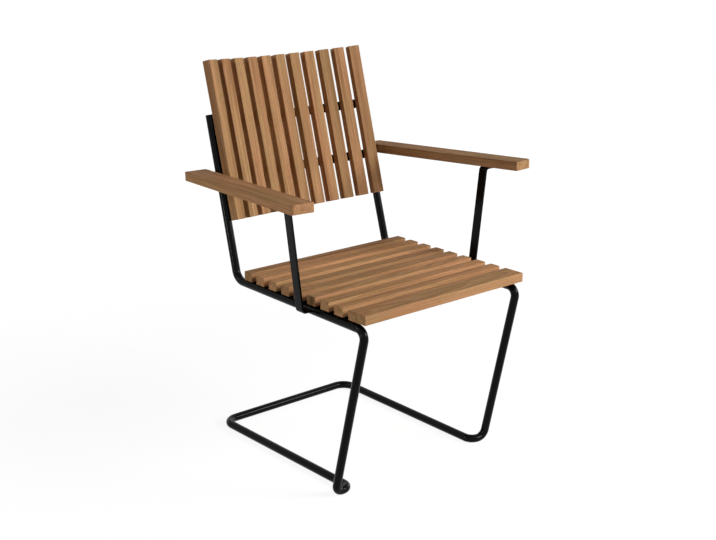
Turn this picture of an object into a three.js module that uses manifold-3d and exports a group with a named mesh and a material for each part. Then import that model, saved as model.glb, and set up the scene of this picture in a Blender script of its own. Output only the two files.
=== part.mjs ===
// A slatted garden armchair on a cantilever frame of one bent steel tube.
// Millimetres, +Z up. The chair faces -Y and is alike on both sides of X = 0.
// While it is built, Y = 0 is the rear edge of the rearmost seat slat.
import * as THREE from "three";
import { mergeVertices } from "three/addons/utils/BufferGeometryUtils.js";
import Module from "manifold-3d";

const wasm = await Module();
wasm.setup();

// The small space that is left between pieces that touch or are welded together.
const GAP = 0.3;

// The round steel tube of the frame.
const TUBE_RADIUS = 9.7;
const TUBE_WALL = 1.5;
const TUBE_SIDES = 16;
const BORE_SIDES = 12;
const BEND_STEPS = 8;

// The turn of the tube's facets about its axis. It puts a row of their corners on the floor.
const TUBE_ROLL = THREE.MathUtils.degToRad(9.06);

// Half the width between the tube's axes at the rear of the seat. The chair's other widths
// follow from it: how far the tube draws in or spreads on its way up, forward and down.
const SEAT_REAR_HALF = 232.8;
const UPRIGHT_DRAW_IN = 5.1;
const RAIL_DRAW_IN = 2.2;
const LEG_SPREAD = 5.1;
const FLOOR_FRONT_INSET = 39.2;
const FLOOR_REAR_INSET = 34.2;

// Where the tube's straight runs meet, before the bends are rounded. The seat rails' height is
// the one at their rear corners, and they drop a little towards the front.
const RAIL_HEIGHT = 420.6;
const RAIL_DROP = 5.9;
const REAR_CORNER_Y = 37.7;
const FRONT_CORNER_Y = -419.5;
const FOOT_CORNER_Y = -323.9;
const FLOOR_REAR_Y = 163.7;
const UPRIGHT_LENGTH = 387.2;

// Bend radii at the tube's axis.
const REAR_BEND = 30;
const FRONT_BEND = 20.4;
const FOOT_BEND = 18.5;
const FLOOR_FRONT_BEND = 21.6;
const FLOOR_REAR_BEND = 33.4;

// The plugs in the open tops of the uprights.
const CAP_THICKNESS = 2;
const CAP_STEM_LENGTH = 12;

// The backrest leans back with the uprights. Its slats stand on a shallow arc.
const BACK_ANGLE = THREE.MathUtils.degToRad(15.35);
const BACK_ARC_RADIUS = 850;
const BACK_SLAT_COUNT = 11;
const BACK_END_INSET = 10;
const BACK_SLAT_LENGTH = 373;
const BACK_SLAT_FOOT = 139;

// Planed slats, and the wider board that makes the seat's front slat and the armrests. All
// of them are cut from stock of one thickness.
const SLAT_WIDTH = 28.3;
const WOOD_THICKNESS = 21.5;
const BOARD_WIDTH = 55;
const EDGE_ROUNDING = 1.5;
const EDGE_STEPS = 2;
const END_CHAMFER = 0.9;

// The two curved flat bars behind the back slats: the lower one by its height along the
// uprights, the upper one by how far it sits below their tops.
const BAR_HEIGHT = 22;
const BAR_THICKNESS = 4;
const LOWER_BAR_LEVEL = 240.7;
const UPPER_BAR_DROP = 18;
const BAR_OVERHANG = 8.5;
const BAR_STEPS = 24;

// The seat, with its rearmost slat first.
const SEAT_SLAT_COUNT = 9;
const SEAT_SLAT_PITCH = 46.66;
const SEAT_SLAT_OVERHANG = 7.2;

// The flat strips that carry the seat slats. They stand on edge along the insides of the
// rails with their tops level, because the rails slope under a level seat.
const STRIP_THICKNESS = 3;
const STRIP_HEIGHT = 18;
const STRIP_END_SETBACK = 40;

// The armrests: place of the inner top corner at the rear, splay and rise towards the front.
// The offset is outwards from the tube's axis at the rear of the seat.
const ARM_OFFSET = 13;
const ARM_LENGTH = 482;
const ARM_REAR_Y = 137.2;
const ARM_REAR_TOP = 671.5;
const ARM_SPLAY = THREE.MathUtils.degToRad(6.63);
const ARM_RISE = THREE.MathUtils.degToRad(2.1);
const ARM_CORNER = 3;
const ARM_FRONT_CORNER = 8;
const ARM_CORNER_STEPS = 3;

// The flat bar under each armrest: a foot on the rail, a splayed riser and a tab under the wood.
const SUPPORT_WIDTH = 23;
const SUPPORT_THICKNESS = 5;
const SUPPORT_Y = -240.4;
const SUPPORT_FOOT_RISE = 1.9;
const SUPPORT_REACH = 32.9;
const SUPPORT_SPLAY = 0.1274;
const SUPPORT_BEND = 8;
const SUPPORT_BEND_STEPS = 5;
const TAB_LENGTH = 38;

// The bracket between each upright and the armrest's inner edge. Its stub meets the plate
// near the front end, and the screws are behind the stub.
const PLATE_LENGTH = 36;
const PLATE_SETBACK = 11;
const PLATE_HEIGHT = 17;
const PLATE_THICKNESS = 4;
const STUB_WIDTH = 12;
const STUB_HEIGHT = 14;

// Pan-head wood screws.
const SCREW_HEAD_RADIUS = 4.5;
const SCREW_HEAD_HEIGHT = 2.4;
const SCREW_SHANK_RADIUS = 2.2;
const SCREW_LENGTH = 14;
const SCREW_SIDES = 12;
const SCREW_DOME_SHARE = 0.55;
const SCREW_SPACING = 15;
const TAB_SCREW_INSET = 14;
const PLATE_SCREW_SPACING = 11;
const PLATE_SCREW_SETBACK = 6.5;

// Half widths that follow from the sizes above.
const UPRIGHT_TOP_HALF = SEAT_REAR_HALF - UPRIGHT_DRAW_IN;
const SEAT_FRONT_HALF = SEAT_REAR_HALF - RAIL_DRAW_IN;
const FOOT_HALF = SEAT_FRONT_HALF + LEG_SPREAD;
const FLOOR_FRONT_HALF = SEAT_REAR_HALF - FLOOR_FRONT_INSET;
const FLOOR_REAR_HALF = SEAT_REAR_HALF - FLOOR_REAR_INSET;
const SEAT_SLAT_HALF = SEAT_REAR_HALF + SEAT_SLAT_OVERHANG;
const BAR_HALF = UPRIGHT_TOP_HALF + BAR_OVERHANG;
const ARM_INNER_HALF = SEAT_REAR_HALF + ARM_OFFSET;

// Heights and depths that follow from the sizes above. The level seat just clears the rails
// at their rear corners.
const SEAT_BOTTOM = RAIL_HEIGHT + TUBE_RADIUS + GAP;
const SEAT_FRONT_Y = -(SEAT_SLAT_COUNT - 1) * SEAT_SLAT_PITCH - BOARD_WIDTH;

// The arc of the back: radii of the bars' two faces, and its centre in front of the uprights,
// set so that the upper bar just meets the uprights.
const BAR_FRONT_RADIUS = BACK_ARC_RADIUS + GAP;
const BAR_BACK_RADIUS = BAR_FRONT_RADIUS + BAR_THICKNESS;
const UPRIGHT_ARC_RADIUS = BAR_BACK_RADIUS + GAP + TUBE_RADIUS;
const ARC_CENTRE = Math.sqrt(UPRIGHT_ARC_RADIUS ** 2 - UPRIGHT_TOP_HALF ** 2);

// The turn from each back slat to the next, with the end slats just inside the uprights.
const BACK_HALF_TURN = Math.asin((UPRIGHT_TOP_HALF - BACK_END_INSET) / BACK_ARC_RADIUS);
const BACK_SLAT_TURN = (2 * BACK_HALF_TURN) / (BACK_SLAT_COUNT - 1);

const steel = new THREE.MeshStandardMaterial({ color: 0x17181a, roughness: 0.42, metalness: 0.4 });
const teak = new THREE.MeshStandardMaterial({ color: 0xa97a4e, roughness: 0.6, metalness: 0 });
const plastic = new THREE.MeshStandardMaterial({ color: 0x141414, roughness: 0.55, metalness: 0 });
const screwSteel = new THREE.MeshStandardMaterial({ color: 0x8d8f92, roughness: 0.35, metalness: 0.9 });

const chair = new THREE.Group();

function addMesh(parent, name, geometry, material) {
  const mesh = new THREE.Mesh(geometry, material);
  mesh.name = name;
  parent.add(mesh);
  return mesh;
}

function sideName(side) {
  return side < 0 ? "left" : "right";
}

// The points of a regular polygon round the origin, turned by a roll.
function polygonPoints(radius, sides, roll) {
  const points = [];
  for (let i = 0; i < sides; i += 1) {
    const angle = roll + (2 * Math.PI * i) / sides;
    points.push(new THREE.Vector2(radius * Math.cos(angle), radius * Math.sin(angle)));
  }
  return points;
}

// Stations along a path of straight runs with a rounded bend at each inner corner.
// A station has the point and the direction of travel there.
function pathStations(corners, bends, bendSteps) {
  const stations = [];
  const last = corners.length - 1;
  const startDirection = corners[1].clone().sub(corners[0]).normalize();
  stations.push({ point: corners[0].clone(), direction: startDirection });
  for (let i = 1; i < last; i += 1) {
    const before = corners[i].clone().sub(corners[i - 1]).normalize();
    const after = corners[i + 1].clone().sub(corners[i]).normalize();
    const turn = before.angleTo(after);
    const radius = bends[i - 1];
    const tangentLength = radius * Math.tan(turn / 2);
    const start = corners[i].clone().addScaledVector(before, -tangentLength);
    const inward = after.clone().addScaledVector(before, -after.dot(before)).normalize();
    for (let k = 0; k <= bendSteps; k += 1) {
      const angle = (turn * k) / bendSteps;
      const point = start.clone();
      point.addScaledVector(before, radius * Math.sin(angle));
      point.addScaledVector(inward, radius * (1 - Math.cos(angle)));
      const direction = before.clone().multiplyScalar(Math.cos(angle));
      direction.addScaledVector(inward, Math.sin(angle));
      stations.push({ point, direction });
    }
  }
  const endDirection = corners[last].clone().sub(corners[last - 1]).normalize();
  stations.push({ point: corners[last].clone(), direction: endDirection });
  return stations;
}

// A curve that runs through its stations, one equal step of the parameter for each,
// so a long straight run costs a single step and a tight bend has several.
class StationCurve extends THREE.Curve {
  constructor(stations) {
    super();
    this.stations = stations;
  }

  blend(t, key, target) {
    const place = t * (this.stations.length - 1);
    const index = Math.min(Math.floor(place), this.stations.length - 2);
    const from = this.stations[index][key];
    const to = this.stations[index + 1][key];
    return target.lerpVectors(from, to, place - index);
  }

  getPoint(t, target = new THREE.Vector3()) {
    return this.blend(t, "point", target);
  }

  getPointAt(t, target = new THREE.Vector3()) {
    return this.getPoint(t, target);
  }

  getTangent(t, target = new THREE.Vector3()) {
    return this.blend(t, "direction", target).normalize();
  }

  getTangentAt(t, target = new THREE.Vector3()) {
    return this.getTangent(t, target);
  }
}

// A closed mesh as a solid that can be joined and cut.
function solidOf(geometry) {
  const bare = geometry.clone();
  bare.deleteAttribute("normal");
  bare.deleteAttribute("uv");
  const merged = mergeVertices(bare);
  const vertProperties = new Float32Array(merged.attributes.position.array);
  const triVerts = new Uint32Array(merged.index.array);
  return new wasm.Manifold(new wasm.Mesh({ numProp: 3, vertProperties, triVerts }));
}

function geometryOf(solid) {
  const mesh = solid.getMesh();
  const geometry = new THREE.BufferGeometry();
  geometry.setAttribute("position", new THREE.BufferAttribute(mesh.vertProperties, 3));
  geometry.setIndex(new THREE.BufferAttribute(mesh.triVerts, 1));
  const faceted = geometry.toNonIndexed();
  faceted.computeVertexNormals();
  return faceted;
}

// Cuts tools that are placed in the chair's frame out of a mesh that has its own placement.
function cutInPlace(mesh, tools) {
  mesh.updateWorldMatrix(true, false);
  const toMesh = mesh.matrixWorld.clone().invert();
  let solid = solidOf(mesh.geometry);
  for (const tool of tools) {
    solid = solid.subtract(solidOf(tool.clone().applyMatrix4(toMesh)));
  }
  mesh.geometry = geometryOf(solid);
}

// The outline of a rectangle with rounded corners, centred on the origin. The four radii
// go round from the corner at +X, +Y.
function roundedRectangle(width, height, radii, steps) {
  const points = [];
  const quarters = [
    [1, 1],
    [-1, 1],
    [-1, -1],
    [1, -1],
  ];
  quarters.forEach(([signX, signY], quarter) => {
    const radius = radii[quarter];
    const centreX = signX * (width / 2 - radius);
    const centreY = signY * (height / 2 - radius);
    for (let i = 0; i <= steps; i += 1) {
      const angle = (Math.PI / 2) * (quarter + i / steps);
      const x = centreX + radius * Math.cos(angle);
      const y = centreY + radius * Math.sin(angle);
      points.push(new THREE.Vector2(x, y));
    }
  });
  return new THREE.Shape(points);
}

// A planed board with eased edges and chamfered ends, centred, its length along Z,
// its width along X and its thickness along Y.
function boardGeometry(length, width, thickness) {
  const radii = [EDGE_ROUNDING, EDGE_ROUNDING, EDGE_ROUNDING, EDGE_ROUNDING];
  const section = roundedRectangle(width, thickness, radii, EDGE_STEPS);
  const geometry = new THREE.ExtrudeGeometry(section, {
    depth: length - 2 * END_CHAMFER,
    bevelEnabled: true,
    bevelThickness: END_CHAMFER,
    bevelSize: END_CHAMFER,
    bevelOffset: -END_CHAMFER,
    bevelSegments: 1,
  });
  geometry.translate(0, 0, END_CHAMFER - length / 2);
  return geometry;
}

// A screw whose head sits at the origin and whose shank points along +Z.
function screwGeometry() {
  const profile = [
    new THREE.Vector2(0, -SCREW_HEAD_HEIGHT),
    new THREE.Vector2(SCREW_HEAD_RADIUS * SCREW_DOME_SHARE, -SCREW_HEAD_HEIGHT),
    new THREE.Vector2(SCREW_HEAD_RADIUS, -SCREW_HEAD_HEIGHT * SCREW_DOME_SHARE),
    new THREE.Vector2(SCREW_HEAD_RADIUS, 0),
    new THREE.Vector2(SCREW_SHANK_RADIUS, 0),
    new THREE.Vector2(SCREW_SHANK_RADIUS, SCREW_LENGTH),
    new THREE.Vector2(0, SCREW_LENGTH),
  ];
  const geometry = new THREE.LatheGeometry(profile, SCREW_SIDES);
  geometry.rotateX(Math.PI / 2);
  return geometry;
}

// The hole for a screw: it starts behind the head's seat and ends past the screw's tip.
function screwHoleGeometry() {
  const depth = SCREW_LENGTH + GAP + SCREW_HEAD_HEIGHT;
  const geometry = new THREE.CylinderGeometry(
    SCREW_SHANK_RADIUS + GAP,
    SCREW_SHANK_RADIUS + GAP,
    depth,
    SCREW_SIDES,
  );
  geometry.rotateX(Math.PI / 2);
  geometry.translate(0, 0, depth / 2 - SCREW_HEAD_HEIGHT);
  return geometry;
}

// Puts a screw at a seat point with its shank along a direction, and returns its hole.
function addScrew(name, seat, direction) {
  const turn = new THREE.Quaternion();
  turn.setFromUnitVectors(new THREE.Vector3(0, 0, 1), direction);
  const head = seat.clone().addScaledVector(direction, -GAP);
  const screw = addMesh(chair, name, screwGeometry(), screwSteel);
  screw.position.copy(head);
  screw.quaternion.copy(turn);
  const placing = new THREE.Matrix4().compose(head, turn, new THREE.Vector3(1, 1, 1));
  return screwHoleGeometry().applyMatrix4(placing);
}

// Where the upright's axis is at a distance along it from the rear corner. The two uprights
// draw slightly together towards their tops.
function uprightPoint(side, distance) {
  const share = distance / UPRIGHT_LENGTH;
  return new THREE.Vector3(
    side * THREE.MathUtils.lerp(SEAT_REAR_HALF, UPRIGHT_TOP_HALF, share),
    REAR_CORNER_Y + distance * Math.sin(BACK_ANGLE),
    RAIL_HEIGHT + distance * Math.cos(BACK_ANGLE),
  );
}

// The frame: one hollow tube from the top of the left upright, down and forward along the
// seat rail, down the leg, in and back along the floor, across, and up again on the right.
function addFrame() {
  function halfPath(side) {
    return [
      uprightPoint(side, UPRIGHT_LENGTH),
      uprightPoint(side, 0),
      new THREE.Vector3(side * SEAT_FRONT_HALF, FRONT_CORNER_Y, RAIL_HEIGHT - RAIL_DROP),
      new THREE.Vector3(side * FOOT_HALF, FOOT_CORNER_Y, TUBE_RADIUS),
      new THREE.Vector3(side * FLOOR_FRONT_HALF, FOOT_CORNER_Y, TUBE_RADIUS),
      new THREE.Vector3(side * FLOOR_REAR_HALF, FLOOR_REAR_Y, TUBE_RADIUS),
    ];
  }
  const halfBends = [REAR_BEND, FRONT_BEND, FOOT_BEND, FLOOR_FRONT_BEND, FLOOR_REAR_BEND];
  const corners = [...halfPath(-1), ...halfPath(1).reverse()];
  const bends = [...halfBends, ...halfBends.slice().reverse()];
  const stations = pathStations(corners, bends, BEND_STEPS);
  const section = new THREE.Shape(polygonPoints(TUBE_RADIUS, TUBE_SIDES, TUBE_ROLL));
  const bore = polygonPoints(TUBE_RADIUS - TUBE_WALL, BORE_SIDES, TUBE_ROLL);
  section.holes.push(new THREE.Path(bore));
  const geometry = new THREE.ExtrudeGeometry(section, {
    steps: stations.length - 1,
    extrudePath: new StationCurve(stations),
  });
  addMesh(chair, "frame_tube", geometry, steel);
}

function addCap(side) {
  const boreInside = (TUBE_RADIUS - TUBE_WALL) * Math.cos(Math.PI / BORE_SIDES);
  const stemRadius = boreInside - GAP;
  const profile = [
    new THREE.Vector2(0, -CAP_STEM_LENGTH),
    new THREE.Vector2(stemRadius, -CAP_STEM_LENGTH),
    new THREE.Vector2(stemRadius, GAP),
    new THREE.Vector2(TUBE_RADIUS, GAP),
    new THREE.Vector2(TUBE_RADIUS, CAP_THICKNESS / 2 + GAP),
    new THREE.Vector2(TUBE_RADIUS - CAP_THICKNESS / 2, CAP_THICKNESS + GAP),
    new THREE.Vector2(0, CAP_THICKNESS + GAP),
  ];
  const geometry = new THREE.LatheGeometry(profile, TUBE_SIDES);
  geometry.rotateX(Math.PI / 2);
  const cap = addMesh(chair, `upright_cap_${sideName(side)}`, geometry, plastic);
  const top = uprightPoint(side, UPRIGHT_LENGTH);
  const alongUpright = top.clone().sub(uprightPoint(side, 0)).normalize();
  cap.position.copy(top);
  cap.quaternion.setFromUnitVectors(new THREE.Vector3(0, 0, 1), alongUpright);
}

// The backrest group: X across, +Y to the rear, Z up along the uprights, with its origin
// level with the uprights' rear corners.
function addBackrest() {
  const back = new THREE.Group();
  back.position.set(0, REAR_CORNER_Y, RAIL_HEIGHT);
  back.rotation.x = -BACK_ANGLE;
  chair.add(back);

  for (let i = 0; i < BACK_SLAT_COUNT; i += 1) {
    const fromMiddle = i - (BACK_SLAT_COUNT - 1) / 2;
    const pivot = new THREE.Group();
    pivot.position.y = -ARC_CENTRE;
    pivot.rotation.z = -fromMiddle * BACK_SLAT_TURN;
    back.add(pivot);
    const geometry = boardGeometry(BACK_SLAT_LENGTH, SLAT_WIDTH, WOOD_THICKNESS);
    const slat = addMesh(pivot, `back_slat_${i + 1}`, geometry, teak);
    slat.position.y = BACK_ARC_RADIUS - WOOD_THICKNESS / 2;
    slat.position.z = BACK_SLAT_FOOT + BACK_SLAT_LENGTH / 2;
  }

  const halfAngle = Math.asin(BAR_HALF / BAR_BACK_RADIUS);
  const outline = [];
  for (let i = 0; i <= BAR_STEPS; i += 1) {
    const angle = halfAngle * ((2 * i) / BAR_STEPS - 1);
    const x = BAR_FRONT_RADIUS * Math.sin(angle);
    const y = BAR_FRONT_RADIUS * Math.cos(angle) - ARC_CENTRE;
    outline.push(new THREE.Vector2(x, y));
  }
  for (let i = BAR_STEPS; i >= 0; i -= 1) {
    const angle = halfAngle * ((2 * i) / BAR_STEPS - 1);
    const x = BAR_BACK_RADIUS * Math.sin(angle);
    const y = BAR_BACK_RADIUS * Math.cos(angle) - ARC_CENTRE;
    outline.push(new THREE.Vector2(x, y));
  }
  const bars = [
    ["back_crossbar_lower", LOWER_BAR_LEVEL],
    ["back_crossbar_upper", UPRIGHT_LENGTH - UPPER_BAR_DROP],
  ];
  for (const [name, level] of bars) {
    const geometry = new THREE.ExtrudeGeometry(new THREE.Shape(outline), {
      depth: BAR_HEIGHT,
      bevelEnabled: false,
    });
    const bar = addMesh(back, name, geometry, steel);
    bar.position.z = level - BAR_HEIGHT / 2;
  }
}

function addSeat() {
  for (let i = 0; i < SEAT_SLAT_COUNT; i += 1) {
    const isFront = i === SEAT_SLAT_COUNT - 1;
    const width = isFront ? BOARD_WIDTH : SLAT_WIDTH;
    const geometry = boardGeometry(2 * SEAT_SLAT_HALF, WOOD_THICKNESS, width);
    geometry.rotateY(Math.PI / 2);
    const name = isFront ? "seat_slat_front" : `seat_slat_${i + 1}`;
    const slat = addMesh(chair, name, geometry, teak);
    slat.position.y = -i * SEAT_SLAT_PITCH - width / 2;
    slat.position.z = SEAT_BOTTOM + WOOD_THICKNESS / 2;
  }
  const stripLength = -SEAT_FRONT_Y - STRIP_END_SETBACK;
  const stripFromRail = TUBE_RADIUS + GAP + STRIP_THICKNESS / 2;
  const taper = Math.atan(RAIL_DRAW_IN / (REAR_CORNER_Y - FRONT_CORNER_Y));
  for (const side of [-1, 1]) {
    const geometry = new THREE.BoxGeometry(STRIP_THICKNESS, stripLength, STRIP_HEIGHT);
    const strip = addMesh(chair, `seat_strip_${sideName(side)}`, geometry, steel);
    strip.position.x = side * (railHalf(-stripLength / 2) - stripFromRail);
    strip.position.y = -stripLength / 2;
    strip.position.z = SEAT_BOTTOM - GAP - STRIP_HEIGHT / 2;
    strip.rotation.z = -side * taper;
  }
}

// How far a depth lies along the seat rail, from its rear corner to its front corner.
function railShare(y) {
  return (REAR_CORNER_Y - y) / (REAR_CORNER_Y - FRONT_CORNER_Y);
}

// The seat rail's axis in the chair's frame, as a distance from X = 0.
function railHalf(y) {
  return THREE.MathUtils.lerp(SEAT_REAR_HALF, SEAT_FRONT_HALF, railShare(y));
}

// The height of the seat rail's axis.
function railHeight(y) {
  return RAIL_HEIGHT - RAIL_DROP * railShare(y);
}

// The armrest's underside in the chair's frame, at a distance in front of its rear corner.
function armUndersideHeight(y) {
  const rise = (ARM_REAR_Y - y) * Math.tan(ARM_RISE);
  return ARM_REAR_TOP + rise - WOOD_THICKNESS / Math.cos(ARM_RISE);
}

// The inner edge of the armrest in the chair's frame, as a distance from X = 0.
function armInnerHalf(y) {
  return ARM_INNER_HALF + (ARM_REAR_Y - y) * Math.tan(ARM_SPLAY);
}

// The armrest: a board whose outer front corner is rounded more than the others.
function armGeometry(side) {
  const frontLeft = side < 0 ? ARM_FRONT_CORNER : ARM_CORNER;
  const frontRight = side < 0 ? ARM_CORNER : ARM_FRONT_CORNER;
  const radii = [ARM_CORNER, ARM_CORNER, frontLeft, frontRight];
  const outline = roundedRectangle(BOARD_WIDTH, ARM_LENGTH, radii, ARM_CORNER_STEPS);
  const geometry = new THREE.ExtrudeGeometry(outline, {
    depth: WOOD_THICKNESS - 2 * EDGE_ROUNDING,
    bevelEnabled: true,
    bevelThickness: EDGE_ROUNDING,
    bevelSize: EDGE_ROUNDING,
    bevelOffset: -EDGE_ROUNDING,
    bevelSegments: EDGE_STEPS,
  });
  const offsetX = (side * BOARD_WIDTH) / 2;
  geometry.translate(offsetX, -ARM_LENGTH / 2, EDGE_ROUNDING - WOOD_THICKNESS);
  return geometry;
}

// The flat bar that carries the armrest's front: it is bent from one strip.
function supportGeometry(tabTop, riserFootHalf, riserTopHalf) {
  const footHeight = railHeight(SUPPORT_Y) + SUPPORT_FOOT_RISE;
  const tabHeight = tabTop - SUPPORT_THICKNESS / 2;
  const corners = [
    new THREE.Vector3(railHalf(SUPPORT_Y) + TUBE_RADIUS + GAP, footHeight, 0),
    new THREE.Vector3(riserFootHalf, footHeight, 0),
    new THREE.Vector3(riserTopHalf, tabHeight, 0),
    new THREE.Vector3(riserTopHalf + TAB_LENGTH, tabHeight, 0),
  ];
  const bends = [SUPPORT_BEND, SUPPORT_BEND];
  const stations = pathStations(corners, bends, SUPPORT_BEND_STEPS);
  const rightFace = [];
  const leftFace = [];
  for (const { point, direction } of stations) {
    const across = new THREE.Vector2(-direction.y, direction.x);
    const centre = new THREE.Vector2(point.x, point.y);
    rightFace.push(centre.clone().addScaledVector(across, -SUPPORT_THICKNESS / 2));
    leftFace.push(centre.clone().addScaledVector(across, SUPPORT_THICKNESS / 2));
  }
  const outline = new THREE.Shape([...rightFace, ...leftFace.reverse()]);
  const geometry = new THREE.ExtrudeGeometry(outline, {
    depth: SUPPORT_WIDTH,
    bevelEnabled: false,
  });
  geometry.translate(0, 0, -SUPPORT_WIDTH / 2);
  geometry.rotateX(Math.PI / 2);
  return geometry;
}

function addArm(side) {
  const sideWord = sideName(side);
  const arm = addMesh(chair, `armrest_${sideWord}`, armGeometry(side), teak);
  arm.position.set(side * ARM_INNER_HALF, ARM_REAR_Y, ARM_REAR_TOP);
  arm.rotation.set(-ARM_RISE, 0, side * ARM_SPLAY);

  const tabTop = armUndersideHeight(SUPPORT_Y + SUPPORT_WIDTH / 2) - GAP;
  const footHeight = railHeight(SUPPORT_Y) + SUPPORT_FOOT_RISE;
  const riserRise = tabTop - SUPPORT_THICKNESS / 2 - footHeight;
  const riserFootHalf = railHalf(SUPPORT_Y) + SUPPORT_REACH;
  const riserTopHalf = riserFootHalf + riserRise * SUPPORT_SPLAY;
  const supportShape = supportGeometry(tabTop, riserFootHalf, riserTopHalf);
  const support = addMesh(chair, `arm_support_${sideWord}`, supportShape, steel);
  support.position.y = SUPPORT_Y;
  if (side < 0) {
    support.rotation.z = Math.PI;
  }

  const holes = [];
  const up = new THREE.Vector3(0, 0, 1);
  [TAB_SCREW_INSET, TAB_SCREW_INSET + SCREW_SPACING].forEach((inset, index) => {
    const seatX = side * (riserTopHalf + inset);
    const seat = new THREE.Vector3(seatX, SUPPORT_Y, tabTop - SUPPORT_THICKNESS);
    holes.push(addScrew(`arm_front_screw_${sideWord}_${index + 1}`, seat, up));
  });

  const bracket = addArmBracket(side);
  for (const end of [-1, 1]) {
    const ahead = (end * PLATE_SCREW_SPACING) / 2 - PLATE_SCREW_SETBACK;
    const along = bracket.forward.clone().multiplyScalar(ahead);
    const seat = bracket.innerFace.clone().add(along);
    const name = `arm_rear_screw_${sideWord}_${end > 0 ? 1 : 2}`;
    holes.push(addScrew(name, seat, bracket.outward));
  }
  cutInPlace(arm, holes);
  cutInPlace(support, holes);
  cutInPlace(bracket.mesh, holes);
}

// The rear bracket: a plate along the armrest's inner edge, on a stub from the upright.
function addArmBracket(side) {
  const middleHeight = ARM_REAR_TOP - WOOD_THICKNESS / 2;
  const distance = (middleHeight - RAIL_HEIGHT) / Math.cos(BACK_ANGLE);
  const axis = uprightPoint(side, distance);
  const forward = new THREE.Vector3(side * Math.sin(ARM_SPLAY), -Math.cos(ARM_SPLAY), 0);
  const outward = new THREE.Vector3(side * Math.cos(ARM_SPLAY), Math.sin(ARM_SPLAY), 0);
  const rise = (ARM_REAR_Y - axis.y) * Math.tan(ARM_RISE);
  const edge = new THREE.Vector3(side * armInnerHalf(axis.y), axis.y, middleHeight + rise);
  const innerFace = edge.clone().addScaledVector(outward, -GAP - PLATE_THICKNESS);
  innerFace.addScaledVector(forward, -PLATE_SETBACK);
  const plateCentre = innerFace.clone().addScaledVector(outward, PLATE_THICKNESS / 2);

  const plate = new THREE.BoxGeometry(PLATE_THICKNESS, PLATE_LENGTH, PLATE_HEIGHT);
  plate.rotateZ(side * ARM_SPLAY);
  plate.translate(plateCentre.x, plateCentre.y, plateCentre.z);
  const stubInner = Math.abs(axis.x) + TUBE_RADIUS + GAP;
  const stubOuter = Math.abs(plateCentre.x) + PLATE_SETBACK * Math.sin(ARM_SPLAY);
  const stub = new THREE.BoxGeometry(stubOuter - stubInner, STUB_WIDTH, STUB_HEIGHT);
  stub.translate((side * (stubInner + stubOuter)) / 2, axis.y, plateCentre.z);
  const joined = geometryOf(solidOf(plate).add(solidOf(stub)));
  const mesh = addMesh(chair, `arm_bracket_${sideName(side)}`, joined, steel);
  return { mesh, forward, outward, innerFace };
}

addFrame();
addBackrest();
addSeat();
for (const side of [-1, 1]) {
  addCap(side);
  addArm(side);
}

// The origin goes to the floor under the middle of the chair.
const bounds = new THREE.Box3().setFromObject(chair, true);
const middle = bounds.getCenter(new THREE.Vector3());
chair.position.set(-middle.x, -middle.y, -bounds.min.z);

export default chair;
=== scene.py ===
# %% [markdown]
# # A slatted garden armchair, dressed around its CAD model
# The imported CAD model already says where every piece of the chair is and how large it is.
# This lesson keeps that frame and gives each piece its finished shape and surface: planed
# and oiled teak, powder-coated steel tube and flat bar, plastic plugs and stainless screws.
# Everything is in metres, +Z is up and the chair faces -Y.

import math
import random

import bmesh
import bpy
from mathutils import Matrix, Vector


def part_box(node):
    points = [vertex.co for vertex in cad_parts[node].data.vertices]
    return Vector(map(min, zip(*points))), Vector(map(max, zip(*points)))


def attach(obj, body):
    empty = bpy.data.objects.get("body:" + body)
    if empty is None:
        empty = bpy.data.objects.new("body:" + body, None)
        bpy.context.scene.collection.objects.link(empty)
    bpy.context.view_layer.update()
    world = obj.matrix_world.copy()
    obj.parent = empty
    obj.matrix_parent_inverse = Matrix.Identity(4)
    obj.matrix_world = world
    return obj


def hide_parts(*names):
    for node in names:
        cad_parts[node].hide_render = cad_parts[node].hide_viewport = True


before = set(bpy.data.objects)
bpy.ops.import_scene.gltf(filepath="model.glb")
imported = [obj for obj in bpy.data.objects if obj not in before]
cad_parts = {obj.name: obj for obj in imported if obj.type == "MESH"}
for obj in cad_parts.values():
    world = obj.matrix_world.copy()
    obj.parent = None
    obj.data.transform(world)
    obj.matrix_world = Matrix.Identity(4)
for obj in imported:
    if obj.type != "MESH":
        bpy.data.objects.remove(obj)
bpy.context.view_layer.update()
rear_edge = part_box("seat_slat_1")[1].y

# %% [markdown]
# ## Helpers for node trees
# Shaders and geometry nodes are both trees of nodes, so one short helper can add a node,
# set its options and either link or fill its inputs. Building trees in code keeps every
# number in view, which a saved node group would hide.


# %% Node helpers
def add_node(tree, kind, inputs=None, **settings):
    """Adds a node. An input is a value, or the output socket that feeds it."""
    node = tree.nodes.new(kind)
    for name, value in settings.items():
        setattr(node, name, value)
    for socket, value in (inputs or {}).items():
        if isinstance(value, bpy.types.NodeSocket):
            tree.links.new(value, node.inputs[socket])
        else:
            node.inputs[socket].default_value = value
    return node


def reckon(tree, operation, *values):
    """One step of arithmetic on plain numbers."""
    return add_node(tree, "ShaderNodeMath", dict(enumerate(values)), operation=operation).outputs[0]


def stretch(tree, place, across, through, along):
    """Coordinates times three numbers. A larger number packs a pattern closer on that axis."""
    factors = (across, through, along)
    node = add_node(tree, "ShaderNodeVectorMath", {0: place, 1: factors}, operation="MULTIPLY")
    return node.outputs["Vector"]


def mottle(tree, place, detail=2.0, roughness=0.5):
    """Soft random patches from 0 to 1, about one unit across."""
    inputs = {"Vector": place, "Scale": 1.0, "Detail": detail, "Roughness": roughness}
    return add_node(tree, "ShaderNodeTexNoise", inputs)


def spread(tree, value, low, high, bottom=0.0, top=1.0):
    """Moves the range low to high onto bottom to top, and holds it there."""
    inputs = {"Value": value, 1: low, 2: high, 3: bottom, 4: top}
    return add_node(tree, "ShaderNodeMapRange", inputs, interpolation_type="SMOOTHSTEP").outputs[0]


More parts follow.
